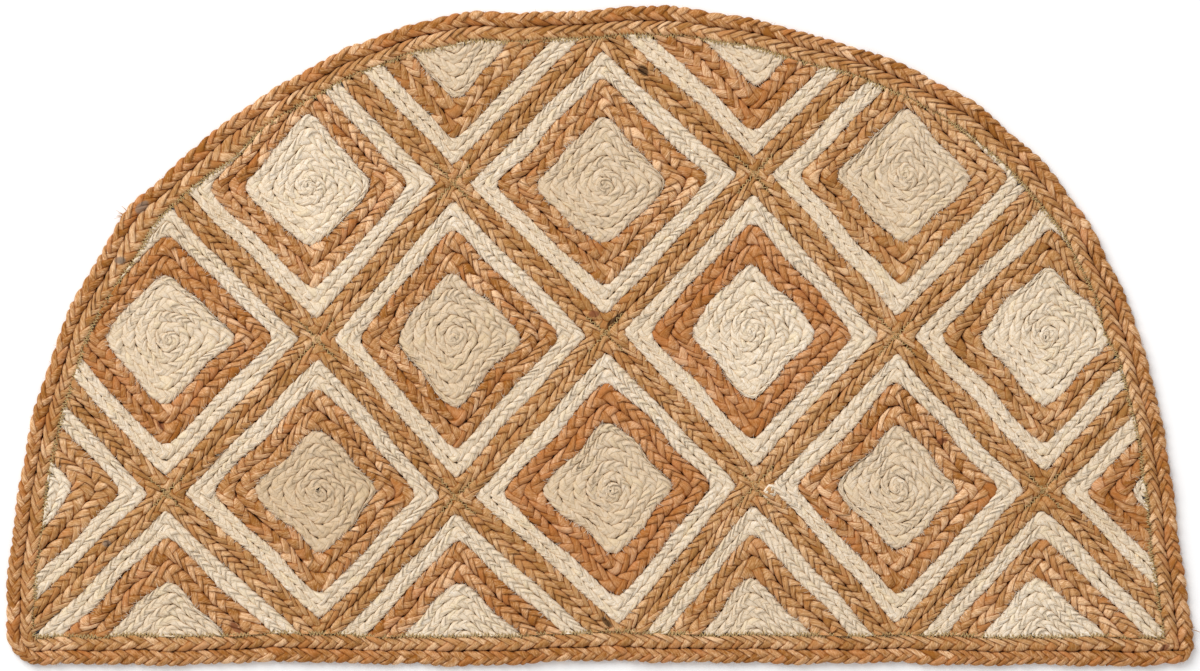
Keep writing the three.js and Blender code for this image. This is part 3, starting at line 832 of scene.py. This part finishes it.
# Loose fibres: each leaves its root at an angle to the outward direction, bends sideways and rises
# or falls a little on its way, getting thinner to its tip. Each step heads turn + bend * part.
def looseFibres(roots, outward, heights, fuzzLength, radius):
    count = len(roots)
    turn = rng.normal(0, fuzz["turn"], count)
    bend = rng.normal(0, fuzz["bend"], count)
    reach = rng.uniform(*fuzzLength, count)
    part, rise, thickness = (np.array(fuzzShape[key]) for key in ("part", "rise", "thickness"))
    heading = turn[:, None] + bend[:, None] * part
    cos, sin = np.cos(heading), np.sin(heading)
    x = outward[:, :1] * cos - outward[:, 1:] * sin
    y = outward[:, :1] * sin + outward[:, 1:] * cos
    steps = np.diff(part, prepend=0) * reach[:, None]
    steps[:, 0] = part[0] * reach
    flat = roots[:, None] + np.cumsum(np.stack([x, y], -1) * steps[..., None], axis=1)
    height = heights[:, None] + rise + rng.normal(0, fuzz["wobble"], (count, len(part)))
    path = np.concatenate([drift(flat), height[..., None]], -1)
    radii = radius * thickness * rng.uniform(fuzz["thinnest"], fuzz["thickest"], (count, 1))
    return makeTubes(path, radii, 3, rng.normal(0, fuzz["toneSpread"], count))


# Roots on the lines between cream and brown, with the way to the brown side where towards is 1 and to
# the cream side where it is -1
def seamRoots(count, towards):
    roots, outward = [], []
    lines = [(tile["latticeInner"], 1), (tile["creamInner"], -1), (None, 1)]
    for spec in tiles:
        for reach, sign in lines:
            level = spec[3] if reach is None else reach
            angle = rng.uniform(0, 2 * math.pi, count)
            inner, outer = (tilePoints(spec, level + step, angle) for step in (-0.5, 0.5))
            way = (outer - inner) * sign * towards
            roots.append((inner + outer) / 2 - way * fuzz["sunk"])
            outward.append(way / np.linalg.norm(way, axis=1, keepdims=True))
    roots, outward = np.concatenate(roots), np.concatenate(outward)
    keep = roomInside(roots, fieldInset) > fuzz["room"]
    return roots[keep], outward[keep]


roots, outward = seamRoots(fuzz["creamPerLine"], 1)
heights = np.full(len(roots), fuzz["height"])
creamHairs = looseFibres(roots, outward, heights, fuzz["creamLength"], fuzz["radius"])
makePiece("cream_fibres", [creamHairs], creamFibre)
roots, outward = seamRoots(fuzz["brownPerLine"], -1)
heights = np.full(len(roots), fuzz["height"])
brownHairs = looseFibres(roots, outward, heights, fuzz["brownLength"], fuzz["radius"])
take = rng.integers(0, len(outlines[0]), fuzz["rim"])
rimRoots = (outlines[0] * (1 - fuzz["rimPlace"]) + outlines[1] * fuzz["rimPlace"])[take]
rimWay = (outlines[0] - outlines[1])[take]
rimWay /= np.linalg.norm(rimWay, axis=1, keepdims=True)
heights = rng.uniform(*fuzz["rimHeight"], len(take))
rimHairs = looseFibres(rimRoots, rimWay, heights, fuzz["rimLength"], fuzz["radius"])
# Stray ends: a tuft at the left of the rim and a thin one by the right corner
strayEnds = {"spots": [(-357, 90), (446, -222)], "ways": [(-1, 0.1), (1, 0.1)], "counts": [18, 3],
             "spread": 1.4, "height": (3.5, 5.5), "length": (5, 10), "radius": 0.32}
spots, ways = (np.repeat(np.array(strayEnds[key], float), strayEnds["counts"], 0)
               for key in ("spots", "ways"))
spots = spots + rng.normal(0, strayEnds["spread"], spots.shape)
heights = rng.uniform(*strayEnds["height"], len(spots))
strays = looseFibres(spots, ways, heights, strayEnds["length"], strayEnds["radius"])
makePiece("brown_fibres", [brownHairs, rimHairs, strays], brownFibre)

# Stage: a pale floor, soft light from above and a little from the upper left
stage = {
    "half": 4, "below": 0.0004, "pale": 0.93, "roughness": 0.9,
    "world": 0.7, "lampWatts": 312, "lampSize": 4, "lampSpot": (-3, 3.5, 4), "lampTurn": (-42, -34, 0),
}
half, below = stage["half"], -stage["below"]
corners = [(-half, -half, below), (half, -half, below), (half, half, below), (-half, half, below)]
floorMesh = bpy.data.meshes.new("floor")
floorMesh.from_pydata(corners, [], [(0, 1, 2, 3)])
floor = bpy.data.objects.new("floor", floorMesh)
floorMaterial = bpy.data.materials.new("paleFloor")
floorMaterial.use_nodes = True
floorInputs = floorMaterial.node_tree.nodes["Principled BSDF"].inputs
floorInputs["Base Color"].default_value = (stage["pale"], stage["pale"], stage["pale"], 1)
floorInputs["Roughness"].default_value = stage["roughness"]
floorMesh.materials.append(floorMaterial)
bpy.context.scene.collection.objects.link(floor)

world = bpy.data.worlds.new("studio")
bpy.context.scene.world = world
world.use_nodes = True
world.node_tree.nodes["Background"].inputs[0].default_value = (1, 1, 1, 1)
world.node_tree.nodes["Background"].inputs[1].default_value = stage["world"]
light = bpy.data.lights.new("window", "AREA")
light.energy = stage["lampWatts"]
light.size = stage["lampSize"]
lamp = bpy.data.objects.new("window", light)
lamp.location = stage["lampSpot"]
lamp.rotation_euler = [math.radians(turn) for turn in stage["lampTurn"]]
bpy.context.scene.collection.objects.link(lamp)

# The camera looks straight down, so that frameWidth metres at the rug's top fill the picture's width
view = {"spot": (0.0004, 0, 4.0), "sensor": 36, "toTop": 3.994, "frameWidth": 0.9076, "clipEnd": 50}
camera = bpy.data.objects.new("camera", bpy.data.cameras.new("camera"))
camera.location = view["spot"]
camera.data.sensor_width = view["sensor"]
camera.data.lens = view["sensor"] * view["toTop"] / view["frameWidth"]
camera.data.clip_end = view["clipEnd"]
bpy.context.scene.collection.objects.link(camera)
bpy.context.scene.camera = camera
bpy.context.scene.view_settings.view_transform = "Standard"
print("rug: floor, light and camera placed")
